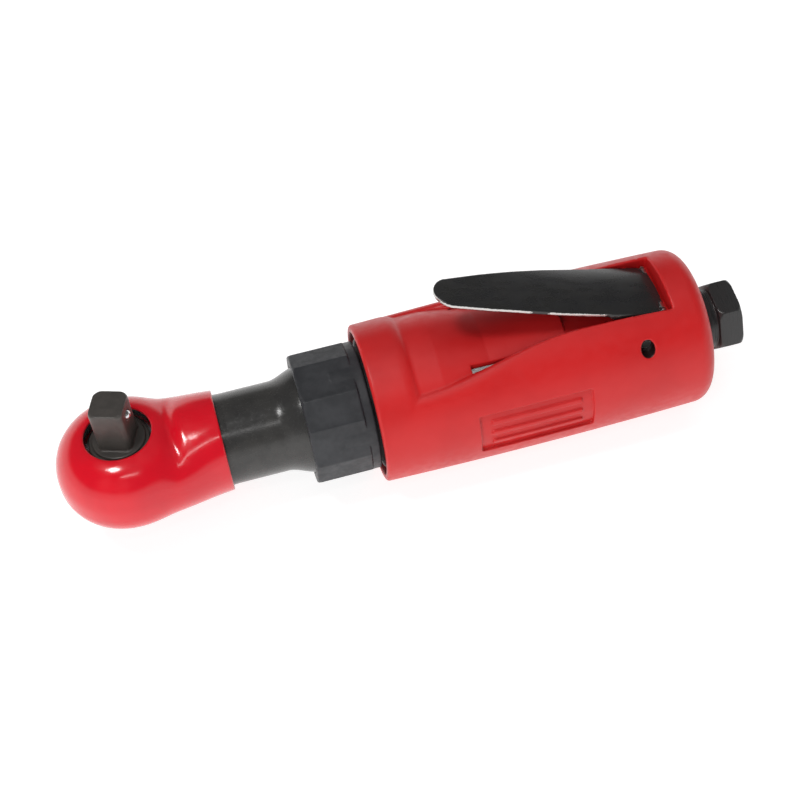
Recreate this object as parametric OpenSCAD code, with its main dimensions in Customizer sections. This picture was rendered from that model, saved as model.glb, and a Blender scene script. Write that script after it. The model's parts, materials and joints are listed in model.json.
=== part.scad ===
// Short air ratchet wrench with a 3/8 inch square drive.
// +X runs along the tool from the head to the air inlet, +Z along the square drive.
// The origin is where the drive axis crosses the tool axis. Millimetres.

/* [Square drive] */
// Width across the flats of the square
drive_af = 9.53; // [9.4:0.01:9.7]
// Height of the tip of the square above the tool axis
drive_tip_z = 26.2; // [25:0.1:27]
// Angle at which the square stands at rest, about its own axis
drive_turn = -20; // [-45:1:45]
// Radius of the detent ball
ball_r = 1.4; // [1.2:0.05:1.5]

/* [Head] */
// Largest radius of the rubber head cover
cover_r = 19.5; // [19.3:0.1:20.5]
// Height of the cover's upper side above the tool axis
cover_top = 13.3; // [13.1:0.1:14]
// Depth of the cover's underside below the tool axis
cover_bottom = 10.6; // [10.4:0.1:11]
// Thickness of the rubber cover
cover_wall = 1.3; // [1:0.1:1.5]
// Distance from the drive axis to the rear edge of the cover
cover_end = 27.2; // [26:0.1:29]
// Radius of the round hole in the cover for the square drive
cover_hole_r = 9.5; // [9.3:0.1:9.7]

/* [Neck and nut] */
// Radius of the neck of the ratchet housing
neck_r = 13.1; // [13:0.1:13.5]
// Width across the flats of the clamp nut
nut_af = 37; // [36.4:0.1:37.6]
// Distance from the drive axis to the front face of the nut
nut_front = 50.8; // [50.6:0.1:51]

/* [Grip] */
// Largest radius of the grip casing
grip_r = 23.6; // [23.2:0.1:24.4]
// Distance from the drive axis to the front rim of the grip
grip_front = 70; // [69.9:0.1:70.2]
// Distance from the drive axis to the rear face of the grip
grip_rear = 168; // [167:0.1:169]
// Depth of the plain panel sunk into each side of the grip
panel_depth = 1; // [0.4:0.1:1.2]

/* [Throttle lever] */
// Slope of the lever plate at rest, rising towards its tip
lever_slope = 16.8; // [15:0.1:18]
// Distance from the lever pin to the lever's tip
lever_reach = 60; // [54:0.5:61]
// Thickness of the lever's sheet steel
lever_t = 1.2; // [1:0.1:1.3]

/* [Air inlet] */
// Width across the flats of the inlet's hexagon
inlet_af = 19; // [18:0.1:20]
// Radius of the plain bore that the 1/4 inch pipe thread is cut in
inlet_thread_r = 5.6; // [5.4:0.1:5.8]
// Distance from the drive axis to the mouth of the inlet
inlet_end = 180.8; // [180:0.1:182]

/* [Hidden] */
smooth = 96;
fit_gap = 0.04;
cut = 0.5;

// Pieces of the head
housing_r = cover_r - cover_wall;
housing_top = cover_top - cover_wall;
housing_bottom = cover_bottom - cover_wall;
top_corner = 12;
bottom_corner = 9.8;
collar_r = neck_r + 1.1;
sleeve_r = collar_r - cover_wall;
shoulder_r = 5;
shoulder_x = 18;
chamber_r = 14.4;
chamber_h = 12.6;
neck_bore_r = 11.4;
head_bore_r = 8.3;
throat_r = 8.8;
drive_corner_r = 6.05;
cheek_angles = [-60, -38, -22, 0, 25, 40, 60];
cheek_radii = [11.5, 15.2, 18.1, 18.9, 18.5, 16.4, 12.2];

// Ratchet teeth, yoke and crank
ratchet_teeth = 48;
tooth_tip_r = 10.1;
tooth_root_r = 10.85;
drum_r = 9.8;
arm_half = 4.5;
crank_throw = 2.5;
crank_pin_r = 2;
bush_r = 3;
journal_r = 8;
bearing_r = 10.4;
fork_gap = 6.6;
fork_out = 7.8;

// Pawl and reversing shaft, on the drive's own axes
pawl_pin_y = 6.2;
pawl_pin_r = 1.4;
pawl_r = 9.65;
pawl_spread = 41;
shaft_r = 3;

// Planetary gear set
gear_module = 0.6;
sun_teeth = 12;
planet_teeth = 12;
ring_teeth = sun_teeth + 2 * planet_teeth;
pressure_angle = 25;
addendum = 0.8 * gear_module;
dedendum = 1.05 * gear_module;
flank_gap = 0.07;
planet_orbit_r = gear_module * (sun_teeth + planet_teeth) / 2;
planet_pin_r = 1.4;
planet_count = 3;
gear_front = 58.4;
gear_w = 7.4;

// Motor
nose_r = 16.9;
sleeve_bore_r = 15;
motor_r = 19.3;
rotor_r = 10.6;
rotor_bore_r = 12.2;
rotor_offset = 1.5;
rotor_front = 77.2;
rotor_len = 37.6;
vane_t = 1.6;
vane_h = 5.4;
vane_count = 4;
vane_r = 10.5;
front_plate_x = 70.1;
rear_plate_x = 115;
plate_w = 6.9;

// Throttle
lever_pin_x = 147.8;
lever_pin_z = 14.3;
lever_pin_r = 1.5;
plate_top = 6.93;
ear_in = 8.3;
ear_out = 9.5;
tip_r = 5.1;
lever_rear = 7;
stem_x = 139;
stem_r = 1.6;
stem_top = 22.5;
pocket_half = 10.1;
pocket_floor = 18.3;

// Grip casing
barrel_sag = 0.5;
barrel_mid = 112;
barrel_span = 42;
rear_corner = 4.8;
front_corner = 0.9;
ramp_start = 90;
ramp_end = 104;
floor_r = 20.7;

// ---------- helpers ----------

// Points of an arc about (cx, cy)
function arc(cx, cy, r, from, to, steps = 8) =
    [for (i = [0:steps]) let (a = from + (to - from) * i / steps) [cx + r * cos(a), cy + r * sin(a)]];

// Turns a solid drawn along +Z so that it runs along the tool axis from x
module along_x(x = 0) {
    translate([x, 0, 0]) rotate([0, 90, 0]) children();
}

// Solid of revolution about the tool axis from points of [radius, x]
module turned(points) {
    along_x() rotate_extrude($fn = smooth) polygon(points);
}

// Plain round bar along the tool axis
module bar(r, x0, x1) {
    along_x(x0) cylinder(r = r, h = x1 - x0, $fn = smooth);
}

// Plain ring along the tool axis
module ring(r_out, r_in, x0, x1) {
    difference() {
        bar(r_out, x0, x1);
        bar(r_in, x0 - cut, x1 + cut);
    }
}

// Plain ring standing on the drive axis
module ring_z(r_out, r_in, z0, z1) {
    translate([0, 0, z0]) difference() {
        cylinder(r = r_out, h = z1 - z0, $fn = smooth);
        translate([0, 0, -cut]) cylinder(r = r_in, h = z1 - z0 + 2 * cut, $fn = smooth);
    }
}

// Bar along Z at any place
module post(x, y, r, z0, z1) {
    translate([x, y, z0]) cylinder(r = r, h = z1 - z0, $fn = smooth);
}

// Bar along Y at any place, centred on the middle plane
module cross_bar(x, z, r, half) {
    translate([x, half, z]) rotate([90, 0, 0]) cylinder(r = r, h = 2 * half, $fn = smooth);
}

// Round cord ring, such as an O-ring, about the tool axis
module cord_ring(r_mid, r_cord, x) {
    along_x(x) rotate_extrude($fn = smooth) translate([r_mid, 0]) circle(r = r_cord, $fn = 24);
}

// Round wire wound into an open coil along +Z
module coil(r_mid, r_wire, turns, length, sides = 8, per_turn = 14) {
    rings = turns * per_turn;
    points = [for (i = [0:rings], j = [0:sides - 1])
        let (a = 360 * i / per_turn, t = 360 * j / sides, r = r_mid + r_wire * cos(t))
        [r * cos(a), r * sin(a), r_wire + (length - 2 * r_wire) * i / rings + r_wire * sin(t)]];
    walls = [for (i = [0:rings - 1], j = [0:sides - 1])
        let (k = (j + 1) % sides)
        [i * sides + j, (i + 1) * sides + j, (i + 1) * sides + k, i * sides + k]];
    first = [for (j = [0:sides - 1]) j];
    last = [for (j = [0:sides - 1]) (rings + 1) * sides - 1 - j];
    polyhedron(points = points, faces = concat([first], [last], walls), convexity = 8);
}

// Involute roll angle in degrees at a given flank angle
function roll(a) = tan(a) * 180 / PI - a;

// Outline of a spur gear with a tooth centred on +X
function gear_points(teeth, add, ded, thin, steps = 4) =
    let (
        rp = gear_module * teeth / 2,
        rb = rp * cos(pressure_angle),
        low = max(rb, rp - ded),
        half = 90 / teeth - thin / 2 / rp * 180 / PI
    )
    [for (i = [0:teeth - 1], side = [-1, 1], j = [0:steps + 1])
        let (
            k = side < 0 ? j : steps + 1 - j,
            r = k == 0 ? rp - ded : low + (rp + add - low) * (k - 1) / steps,
            a = half + roll(pressure_angle) - roll(acos(rb / max(r, rb)))
        )
        [r * cos(360 * i / teeth + side * a), r * sin(360 * i / teeth + side * a)]];

// Hexagon with its corners turned back to a radius, across the flats af
module cornered_hex(af, corner_r, h) {
    intersection() {
        cylinder(r = af / sqrt(3), h = h, $fn = 6);
        rotate(30) cylinder(r = corner_r / cos(30), h = h, $fn = 6);
    }
}

// Domed drum about the drive axis, with rounded upper and lower edges
module head_form(r, top, bottom, up_r, low_r) {
    rotate_extrude($fn = smooth) polygon(concat(
        [[0, -bottom]],
        arc(r - low_r, low_r - bottom, low_r, -90, 0, 10),
        arc(r - up_r, top - up_r, up_r, 0, 90, 10),
        [[0, top]]
    ));
}

// Round shank behind the dome, with a rounded front shoulder
module collar_form(r, corner, end) {
    turned(concat([[0, 8]], arc(r - corner, shoulder_x, corner, -90, 0, 6), [[r, end], [0, end]]));
}

// Closes the bottom of the valley between the dome and the shank
module throat() {
    bar(throat_r, 11, 17);
}

// Cheeks that run from the sides of the dome to the end of the shank, as half cross-sections in
// polar form
module cheek_section(x, radii) {
    points = [for (i = [0:len(cheek_angles) - 1])
        radii[i] * [cos(cheek_angles[i]), sin(cheek_angles[i])]];
    translate([x, 0, 0]) rotate([90, 0, 90]) linear_extrude(0.05) polygon(concat(
        points, [for (i = [len(points) - 1:-1:0]) [-points[i][0], points[i][1]]]
    ));
}

module cheeks(wall) {
    hull() {
        cheek_section(4, [for (r = cheek_radii) r - wall]);
        cheek_section(cover_end - 0.1, [for (r = cheek_radii) collar_r - 0.05 - wall]);
    }
}

// Places children on the square drive's own axes
module on_drive() {
    rotate([0, 0, drive_turn]) children();
}

// Places children on the lever pin, with -X along the lever towards its tip
module on_lever() {
    translate([lever_pin_x, 0, lever_pin_z]) rotate([0, lever_slope, 0]) children();
}

// ---------- head ----------

module ratchet_housing() {
    color("dimgray") difference() {
        union() {
            head_form(housing_r, housing_top, housing_bottom, top_corner - cover_wall,
                bottom_corner - cover_wall);
            collar_form(sleeve_r, shoulder_r - cover_wall, cover_end);
            cheeks(cover_wall);
            throat();
            turned(concat(
                [[0, cover_end - 1], [neck_r, cover_end - 0.01], [neck_r, 45]],
                arc(neck_r + 6, 45, 6, 180, 138, 5),
                [[neck_r + 1.7, 52.4], [16.4, 52.4], [16.4, 57.6], [0, 57.6]]
            ));
        }
        translate([0, 0, -chamber_h / 2]) cylinder(r = chamber_r, h = chamber_h, $fn = smooth);
        post(0, 0, 10.4, 0, housing_top + cut);
        post(0, 0, 11, 9.5, 10.8);
        post(0, 0, 7, -housing_bottom - cut, 0);
        bar(head_bore_r, 9, 24);
        bar(neck_bore_r, 23, 42);
        bar(bearing_r, 41, 54.2);
        bar(13.9, 54.2, 58);
    }
}

module head_cover() {
    color("crimson") difference() {
        union() {
            head_form(cover_r, cover_top, cover_bottom, top_corner, bottom_corner);
            cheeks(0);
            collar_form(collar_r, shoulder_r, cover_end);
        }
        head_form(housing_r, housing_top, housing_bottom, top_corner - cover_wall,
            bottom_corner - cover_wall);
        collar_form(sleeve_r, shoulder_r - cover_wall, cover_end + cut);
        cheeks(cover_wall);
        throat();
        post(0, 0, cover_hole_r, 0, cover_top + cut);
        post(0, 0, 8.9, -cover_bottom - cut, 0);
    }
}

module anvil_bush() {
    color("peru") ring_z(7, 6 + fit_gap, -housing_bottom, -chamber_h / 2 - 0.05);
}

module thrust_washer() {
    color("silver") ring_z(10.3, 8.75, 8.2, 9.4);
}

module retaining_ring() {
    color("gray") difference() {
        ring_z(10.95, 9, 9.55, 10.75);
        translate([-12, -1.4, 9]) cube([6, 2.8, 3]);
    }
}

module yoke() {
    pitch = 360 / ratchet_teeth;
    color("slategray") difference() {
        union() {
            translate([0, 0, -5.9]) cylinder(r = 14, h = 11.8, $fn = smooth);
            translate([11, -5.2, -arm_half]) cube([18, 10.4, 2 * arm_half]);
            translate([26, -fork_out, -arm_half]) cube([13, 2 * fork_out, 2 * arm_half]);
        }
        translate([0, 0, -7]) linear_extrude(14) polygon([
            for (i = [0:ratchet_teeth - 1], j = [0, 1, 2, 3])
                let (a = pitch * (i + [0.06, 0.3, 0.7, 0.94][j]))
                let (r = (j == 0 || j == 3) ? tooth_tip_r : tooth_root_r)
                [r * cos(a), r * sin(a)]
        ]);
        translate([31, -fork_gap, -6]) cube([9, 2 * fork_gap, 12]);
    }
}

// ---------- square drive ----------

module anvil() {
    color("dimgray") on_drive() difference() {
        union() {
            intersection() {
                translate([-drive_af / 2, -drive_af / 2, 8]) cube([drive_af, drive_af, drive_tip_z - 8]);
                rotate_extrude($fn = smooth) polygon([
                    [0, 6], [drive_corner_r, 6], [drive_corner_r, drive_tip_z - 0.6],
                    [drive_corner_r - 0.55, drive_tip_z], [0, drive_tip_z]
                ]);
            }
            post(0, 0, drum_r, -6.1, 8);
            post(0, 0, 8.6, 8, 11.2);
            post(0, 0, 7.8, 11, 12);
            post(0, 0, 6, -9.4, -6);
        }
        post(0, 0, shaft_r + fit_gap, -10, 4);
        translate([-8.2, 1.8, -5]) cube([16.4, 9, 10]);
        post(0, pawl_pin_y, pawl_pin_r, -6.2, 7);
        translate([0, 0, drive_tip_z - 4.3]) rotate([0, 90, 0]) cylinder(r = ball_r + 0.05, h = 6, $fn = 48);
        knob_pin_shape(0.01);
    }
}

module pawl_pin() {
    color("silver") on_drive() post(0, pawl_pin_y, pawl_pin_r, -6.1, 6.6);
}

module pawl() {
    color("goldenrod") on_drive() difference() {
        translate([0, 0, -4.7]) linear_extrude(9.4) polygon(concat(
            arc(0, 0, pawl_r, 90 - pawl_spread, 90 + pawl_spread, 16),
            [[-6.2, 5.2], [-3, 4.1], [-0.9, 4.1], [0, 4.5], [0.9, 4.1], [3, 4.1], [6.2, 5.2]]
        ));
        post(0, pawl_pin_y, pawl_pin_r + fit_gap, -5, 5);
    }
}

module pawl_plunger() {
    color("silver") on_drive() rotate([-90, 0, 0]) {
        translate([0, 0, 1]) cylinder(r = 0.96, h = 2, $fn = 32);
        translate([0, 0, 3]) sphere(r = 0.96, $fn = 32);
    }
}

module plunger_spring() {
    color("lightsteelblue") on_drive() rotate([-90, 0, 0]) translate([0, 0, -2.1]) coil(0.65, 0.2, 4, 3);
}

module reverse_knob() {
    color("black") on_drive() difference() {
        union() {
            post(0, 0, shaft_r, -10, 3.6);
            translate([0, 0, -13.4]) cylinder(r = 8.4, h = 3.8, $fn = smooth);
            intersection() {
                translate([0, 0, -15]) cylinder(r = 8.4, h = 2, $fn = smooth);
                translate([-9, -2, -15]) cube([18, 4, 2]);
            }
        }
        translate([0, -2.2, 0]) rotate([-90, 0, 0]) cylinder(r = 1, h = 6, $fn = 32);
        ring_z(4, 2.2, -8.3, -6.7);
    }
}

// Cross pin that catches a groove in the reversing shaft
module knob_pin_shape(gap = 0) {
    translate([-4.8, -2.85, -7.5]) rotate([0, 90, 0]) cylinder(r = 0.6 + gap, h = 9.6, $fn = 24);
}

module knob_pin() {
    color("silver") on_drive() knob_pin_shape();
}

module detent_ball() {
    color("gainsboro") on_drive() translate([drive_af / 2 - 0.55, 0, drive_tip_z - 4.3])
        sphere(r = ball_r, $fn = 48);
}

module detent_spring() {
    color("lightsteelblue") on_drive() translate([0.1, 0, drive_tip_z - 4.3]) rotate([0, 90, 0])
        coil(0.9, 0.22, 4, 2.6);
}

// ---------- crank and gears ----------

module drive_bush() {
    color("peru") translate([0, 0, crank_throw]) ring(bush_r, crank_pin_r + fit_gap, 34, 38.8);
}

module crankshaft() {
    color("silver") difference() {
        union() {
            translate([0, 0, crank_throw]) bar(crank_pin_r, 33.6, 42);
            bar(journal_r, 41.6, 55);
            bar(10.4, 54.8, 57.9);
        }
        for (k = [0:planet_count - 1])
            along_x(54) rotate(360 / planet_count * k) translate([planet_orbit_r, 0, 0])
                cylinder(r = planet_pin_r, h = 5, $fn = 32);
        bar(1.2, 56, 59);
    }
}

module crank_bearing() {
    color("lightsteelblue") ring(bearing_r, journal_r + fit_gap, 42.4, 54);
}

module planet_pin(k) {
    color("silver") along_x(54.2) rotate(360 / planet_count * k) translate([planet_orbit_r, 0, 0])
        cylinder(r = planet_pin_r, h = gear_front + gear_w - 54.2, $fn = 32);
}

module planet_pin_1() { planet_pin(0); }
module planet_pin_2() { planet_pin(1); }
module planet_pin_3() { planet_pin(2); }

module planet_gear(k) {
    color("goldenrod") along_x(gear_front) rotate(360 / planet_count * k) translate([planet_orbit_r, 0, 0])
        difference() {
            rotate(180 / planet_teeth) linear_extrude(gear_w)
                polygon(gear_points(planet_teeth, addendum, dedendum, flank_gap));
            translate([0, 0, -cut]) cylinder(r = planet_pin_r + fit_gap, h = gear_w + 2 * cut, $fn = 32);
        }
}

module planet_gear_1() { planet_gear(0); }
module planet_gear_2() { planet_gear(1); }
module planet_gear_3() { planet_gear(2); }

module ring_gear() {
    color("gray") along_x(gear_front - 0.4) difference() {
        cylinder(r = 14, h = gear_w + 0.8, $fn = smooth);
        translate([0, 0, -cut]) rotate(180 / ring_teeth) linear_extrude(gear_w + 2)
            polygon(gear_points(ring_teeth, dedendum, addendum, -flank_gap));
    }
}

// ---------- air motor ----------

module motor_housing() {
    color("darkgray") difference() {
        union() {
            bar(nose_r, gear_front - 0.4, 72);
            turned([[0, 70.6], [18.6, 70.6], [motor_r, 71.3], [motor_r, 124], [0, 124]]);
        }
        bar(14, 50, 67);
        bar(13.2, 60, 70.5);
        bar(sleeve_bore_r, 70, 130);
        for (a = [-60, -30, 0, 30, 60])
            rotate([a + 180, 0, 0]) post(96, 0, 2.5, 10, 25);
    }
}

module front_end_plate() {
    color("darkgray") difference() {
        bar(sleeve_bore_r - 0.02, front_plate_x, front_plate_x + plate_w);
        bar(8, front_plate_x - cut, front_plate_x + 5.6);
        bar(4.6, front_plate_x - cut, front_plate_x + plate_w + cut);
        dowel_shape(0.02);
    }
}

module front_bearing() {
    color("lightsteelblue") ring(8, 4 + fit_gap, front_plate_x, front_plate_x + 5.5);
}

module dowel_shape(gap = 0) {
    translate([0, 0, -13.55]) bar(0.9 + gap, front_plate_x + 4.4, rear_plate_x + 3);
}

module cylinder_dowel() {
    color("silver") dowel_shape();
}

module motor_cylinder() {
    color("darkgray") difference() {
        bar(sleeve_bore_r - 0.02, front_plate_x + plate_w + 0.02, rear_plate_x - 0.02);
        translate([0, 0, rotor_offset]) bar(rotor_bore_r, 70, 120);
        dowel_shape(0.02);
        for (x = [90, 96, 102], a = [150, 210])
            rotate([a, 0, 0]) post(x, 0, 1.5, 8, 16);
    }
}

module rotor() {
    color("silver") difference() {
        union() {
            bar(rotor_r, rotor_front, rotor_front + rotor_len);
            bar(4, front_plate_x + 0.1, rear_plate_x + 6);
            bar(2.8, gear_front, front_plate_x + 1);
            along_x(gear_front) linear_extrude(gear_w)
                polygon(gear_points(sun_teeth, addendum, dedendum, flank_gap));
        }
        for (k = [0:vane_count - 1])
            vane_place(k) translate([rotor_front - 1, -vane_t / 2 - 0.05, 4.9])
                cube([rotor_len + 2, vane_t + 0.1, 8]);
    }
}

// Turns a slot or vane drawn towards +Z to its place around the rotor
module vane_place(k) {
    rotate([45 + 90 * k, 0, 0]) children();
}

module vane(k) {
    color("saddlebrown") vane_place(k) translate([rotor_front + 0.1, -vane_t / 2, vane_r - vane_h])
        cube([rotor_len - 0.2, vane_t, vane_h]);
}

module vane_1() { vane(0); }
module vane_2() { vane(1); }
module vane_3() { vane(2); }
module vane_4() { vane(3); }

module rear_end_plate() {
    color("darkgray") difference() {
        bar(sleeve_bore_r - 0.02, rear_plate_x, rear_plate_x + plate_w);
        bar(8, rear_plate_x + 1.4, rear_plate_x + plate_w + cut);
        bar(4.6, rear_plate_x - cut, rear_plate_x + plate_w);
        dowel_shape(0.02);
        translate([0, 0, 11]) bar(1.6, rear_plate_x - cut, rear_plate_x + plate_w + cut);
    }
}

module rear_bearing() {
    color("lightsteelblue") ring(8, 4 + fit_gap, rear_plate_x + 1.4, rear_plate_x + plate_w);
}

module exhaust_deflector() {
    color("gainsboro") difference() {
        ring(20.95, motor_r + 0.02, 71.4, 72.6);
        for (a = [0:30:330])
            rotate([a + 15, 0, 0]) translate([71, -1, 19.9]) cube([2, 2, 2]);
    }
}

module exhaust_felt() {
    color("lightgray") ring(20.95, motor_r + 0.02, 72.65, 74);
}

// ---------- clamp nut ----------

module clamp_nut() {
    corner_r = 18.95;
    color("black") difference() {
        intersection() {
            along_x(nut_front) rotate(40) cornered_hex(nut_af, corner_r, 18.7);
            turned([[0, nut_front], [18.6, nut_front], [19.5, nut_front + 0.9], [19.5, 66.6],
                [18.7, 67.4], [18.7, 69.5], [0, 69.5]]);
        }
        bar(14.95, nut_front - cut, 53);
        turned([[0, nut_front - 0.1], [15.9, nut_front - 0.1], [14.9, nut_front + 0.9],
            [0, nut_front + 0.9]]);
        bar(16.45, 52.35, 60);
        bar(nose_r, 57.9, 70);
    }
}

// ---------- grip ----------

// Outer radius of the grip at x
function barrel(x) = grip_r - barrel_sag * pow((x - barrel_mid) / barrel_span, 2);

module grip_solid() {
    last = grip_rear - rear_corner;
    turned(concat(
        [[0, grip_front]],
        arc(barrel(grip_front) - front_corner, grip_front + front_corner, front_corner, -90, 0, 4),
        [for (x = [76:7:160]) [barrel(x), x]],
        arc(barrel(last) - rear_corner, last, rear_corner, 0, 90, 8),
        [[0, grip_rear]]
    ));
}

// Plan outline of the lever channel, wide at the front and narrow at the rear
module channel_plan() {
    polygon([
        [84, -14.6], [ramp_start, -13.9], [98, -13], [114, -11.3], [126, -pocket_half], [157.5, -pocket_half],
        [157.5, pocket_half], [126, pocket_half], [114, 11.3], [98, 13], [ramp_start, 13.9], [84, 14.6]
    ]);
}

module lever_channel() {
    difference() {
        linear_extrude(40) channel_plan();
        turned([[0, 80], [grip_r + 0.6, 80], [grip_r + 0.3, ramp_start - 1], [barrel(ramp_start), ramp_start],
            [floor_r, ramp_end], [floor_r, 126.5], [0, 126.5]]);
        translate([120, -12, 0]) cube([32.5, 24, pocket_floor]);
        translate([150, -12, 0]) cube([10, 24, 16.5]);
    }
}

// Narrow wedge slot beside the channel wall, over the motor housing
module side_slot() {
    translate([0, 0, 12]) linear_extrude(20)
        polygon([[98.5, 12.9], [98.5, 11.2], [101, 11.1], [114.5, 11.2]]);
}

module side_panel() {
    height = 14;
    rotate([87, 0, 0]) difference() {
        translate([97.5, -height / 2, 15]) cube([33, height, 20]);
        turned([[0, 90], [grip_r - panel_depth - 0.05, 90], [grip_r - panel_depth - 0.05, 136], [0, 136]]);
        for (y = [-3.8, 0, 3.8])
            translate([101, y - 0.8, 15]) intersection() {
                cube([26, 1.6, 20]);
                translate([-101, -y + 0.8, -15])
                    turned([[0, 90], [grip_r - 0.35, 90], [grip_r - 0.35, 136], [0, 136]]);
            }
    }
}

module grip_casing() {
    color("red") difference() {
        grip_solid();
        bar(21, grip_front - cut, 74);
        bar(motor_r + 0.02, 73, 124.02);
        for (a = [120:30:240])
            rotate([a, 0, 0]) translate([73, -2.5, 15]) cube([46, 5, 5.3]);
        lever_channel();
        side_slot();
        mirror([0, 1, 0]) side_slot();
        side_panel();
        mirror([0, 1, 0]) side_panel();
        for (side = [-1, 1])
            translate([139.4, side > 0 ? 7.9 : -pocket_half, 9.4]) cube([16.6, pocket_half - 7.9, 12]);
        cross_bar(lever_pin_x, lever_pin_z, lever_pin_r, 30);
        for (side = [-1, 1])
            translate([lever_pin_x, side * 21.5, lever_pin_z]) rotate([90, 0, 0])
                cylinder(r = 2.1, h = 11, center = true, $fn = 48);
        post(stem_x, 0, 3.6, 11.5, 25);
        post(stem_x, 0, 4.6, -11, 11.6);
        translate([0, 0, -2.5]) bar(2.6, 123, 137);
        translate([0, 0, -2.5]) bar(2.6, 138, 152);
        bar(8.2, 151, grip_rear + cut);
    }
}

// ---------- throttle ----------

// Half outline of the lever from its rear edge to near its tip
lever_edge = [[lever_rear, 9.3], [5, ear_out], [-8, 9.4], [-15, 9.2], [-25, 8.8], [-35, 8], [-45, 6.9]];

module throttle_lever() {
    color("black") on_lever() difference() {
        union() {
            translate([0, 0, plate_top - lever_t]) linear_extrude(lever_t) polygon(concat(
                [for (p = lever_edge) [p[0], -p[1]]],
                arc(tip_r - lever_reach, 0, tip_r, 262, 98, 12),
                [for (i = [len(lever_edge) - 1:-1:0]) lever_edge[i]]
            ));
            translate([lever_rear - 1, -9.2, plate_top - 1.9]) cube([1.2, 18.4, 1.9]);
            for (side = [-1, 1])
                translate([0, side * (ear_in + ear_out) / 2, 0]) rotate([90, 0, 0])
                    linear_extrude(ear_out - ear_in, center = true) polygon(concat(
                        [[-10, plate_top - 0.3], [-9.4, 4.2]],
                        arc(0, 0, 3.2, 200, 340, 8),
                        [[6.5, 4.2], [6.6, plate_top - 0.3]]
                    ));
        }
        translate([0, 15, 0]) rotate([90, 0, 0]) cylinder(r = lever_pin_r + fit_gap, h = 30, $fn = 48);
    }
}

module lever_pin() {
    color("silver") cross_bar(lever_pin_x, lever_pin_z, lever_pin_r, 16);
}

module throttle_stem() {
    color("silver") {
        post(stem_x, 0, stem_r, -3, stem_top - 0.8);
        translate([stem_x, 0, stem_top - 0.8]) cylinder(r1 = stem_r, r2 = stem_r - 0.7, h = 0.8, $fn = 48);
    }
}

module stem_guide() {
    color("goldenrod") difference() {
        union() {
            post(stem_x, 0, 3.58, 8.4, 17.8);
            post(stem_x, 0, 4.55, 8.4, 11.55);
        }
        post(stem_x, 0, stem_r + fit_gap, 8, 18);
        post(stem_x, 0, 2.7, 8, 9.9);
    }
}

module stem_seal() {
    color("black") translate([stem_x, 0, 9.1]) rotate_extrude($fn = smooth)
        translate([2.17, 0]) circle(r = 0.5, $fn = 24);
}

module valve_seat() {
    color("goldenrod") difference() {
        post(stem_x, 0, 4.55, 0.8, 3.2);
        post(stem_x, 0, 2.4, 0, 4);
    }
}

module valve_plug() {
    color("black") difference() {
        translate([stem_x, 0, -2.6]) cylinder(r = 3.4, h = 3.2, $fn = smooth);
        post(stem_x, 0, stem_r, -4, 2);
    }
}

module valve_spring() {
    color("lightsteelblue") translate([stem_x, 0, -10.9]) coil(2.7, 0.35, 5, 8.2);
}

module air_inlet() {
    color("black") difference() {
        union() {
            bar(8.18, 154, 168.1);
            turned([[0, 168.02], [9.1, 168.02], [9.4, 168.4], [9.4, 172.4], [8.6, 173], [8.6, 174],
                [0, 174]]);
            intersection() {
                along_x(173.6) rotate(40) cylinder(r = inlet_af / sqrt(3), h = inlet_end - 173.6, $fn = 6);
                turned([[0, 173.6], [9.6, 173.6], [11, 174.6], [11, inlet_end - 1.4], [9.2, inlet_end],
                    [0, inlet_end]]);
            }
        }
        bar(inlet_thread_r, 168.8, inlet_end + cut);
        bar(4.2, 150, 170);
        bar(5.2, 166.6, 169);
        turned([[0, 155.6], [9, 155.6], [9, 157.2], [0, 157.2]]);
    }
    color("black") ring(7.1, 4.2, 155.5, 157.3);
}

module inlet_seal() {
    color("dimgray") cord_ring(7.6, 0.5, 156.4);
}

module inlet_screen() {
    color("silver") difference() {
        bar(5.15, 166.7, 167.2);
        for (y = [-3:1.5:3], z = [-3:1.5:3])
            translate([166, y - 0.5, z - 0.5]) cube([2, 1, 1]);
    }
}

ratchet_housing();
head_cover();
clamp_nut();
yoke();
anvil();
anvil_bush();
thrust_washer();
retaining_ring();
pawl();
pawl_pin();
pawl_plunger();
plunger_spring();
reverse_knob();
knob_pin();
detent_ball();
detent_spring();
crankshaft();
crank_bearing();
drive_bush();
planet_pin_1();
planet_pin_2();
planet_pin_3();
planet_gear_1();
planet_gear_2();
planet_gear_3();
ring_gear();
motor_housing();
front_end_plate();
front_bearing();
motor_cylinder();
cylinder_dowel();
rotor();
vane_1();
vane_2();
vane_3();
vane_4();
rear_end_plate();
rear_bearing();
exhaust_deflector();
exhaust_felt();
grip_casing();
throttle_lever();
lever_pin();
throttle_stem();
stem_guide();
stem_seal();
valve_seat();
valve_plug();
valve_spring();
air_inlet();
inlet_seal();
inlet_screen();
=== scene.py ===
"""Looks of the air ratchet wrench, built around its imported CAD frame.

+X runs from the head to the air inlet and +Z along the square drive. Shapes below are worked
out in millimetres and turned into metres when their meshes are made.
"""

import json
import math

import bpy
import numpy as np
from mathutils import Euler, Matrix, Vector


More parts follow.
